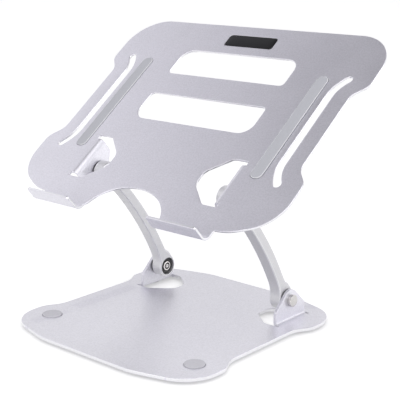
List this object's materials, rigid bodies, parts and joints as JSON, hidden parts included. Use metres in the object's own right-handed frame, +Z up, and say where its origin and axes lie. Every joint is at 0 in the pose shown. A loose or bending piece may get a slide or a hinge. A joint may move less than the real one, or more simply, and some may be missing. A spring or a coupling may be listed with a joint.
{
  "type": "laptop stand",
  "caption": "Folding aluminium laptop stand: waisted base plate, curved arms on friction pivots, vented tray with front hooks.",
  "frame": {"origin": "centre of the whole stand's footprint, on the floor under the feet", "axes": "+Z up, -Y towards the user (the hooks), +X to the user's right"},
  "size_m": [0.28, 0.221, 0.2406],
  "materials": {
    "satin_aluminium": "fine bead-blasted, clear anodised",
    "polished_steel": "polished",
    "spring_black": "black, slightly glossy",
    "washer_black": "matt black",
    "nylon_black": "black nylon",
    "grey_rubber": "light grey silicone rubber",
    "badge_black": "black, plain"
  },
  "bodies": {
    "base": {"base_plate": "satin_aluminium", "bumper_right": "grey_rubber", "bumper_left": "grey_rubber", "foot_front_right": "grey_rubber", "foot_rear_right": "grey_rubber", "foot_front_left": "grey_rubber", "foot_rear_left": "grey_rubber", "bolt_lower_right": "polished_steel", "lock_nut_lower_right": "polished_steel", "nut_insert_lower_right": "nylon_black", "bolt_lower_left": "polished_steel", "lock_nut_lower_left": "polished_steel", "nut_insert_lower_left": "nylon_black"},
    "arm_left": {"arm_left": "satin_aluminium", "friction_washer_lower_left": "washer_black", "spring_ring_lower_left": "spring_black", "friction_washer_upper_left": "washer_black", "spring_ring_upper_left": "spring_black"},
    "arm_right": {"arm_right": "satin_aluminium", "friction_washer_lower_right": "washer_black", "spring_ring_lower_right": "spring_black", "friction_washer_upper_right": "washer_black", "spring_ring_upper_right": "spring_black"},
    "tray": {"tray_plate": "satin_aluminium", "grip_strip_right": "grey_rubber", "grip_strip_left": "grey_rubber", "badge": "badge_black", "bolt_upper_right": "polished_steel", "lock_nut_upper_right": "polished_steel", "nut_insert_upper_right": "nylon_black", "bolt_upper_left": "polished_steel", "lock_nut_upper_left": "polished_steel", "nut_insert_upper_left": "nylon_black"}
  },
  "joints": [
    {"name": "fold", "type": "hinge", "parent": "base", "child": "arm_left", "pos_m": [-0.06845, 0.0543, 0.022], "axis": [1, 0, 0], "range_deg": [-35, 36]},
    {"name": "fold_right", "type": "hinge", "parent": "base", "child": "arm_right", "pos_m": [0.06845, 0.0543, 0.022], "axis": [1, 0, 0], "range_deg": [-35, 36]},
    {"name": "tray_tilt", "type": "hinge", "parent": "arm_left", "child": "tray", "pos_m": [0, -0.01654, 0.12243], "axis": [1, 0, 0], "range_deg": [-75, 5]}
  ],
  "couplings": [
    {"joint": "fold_right", "follows": "fold", "ratio": 1}
  ]
}
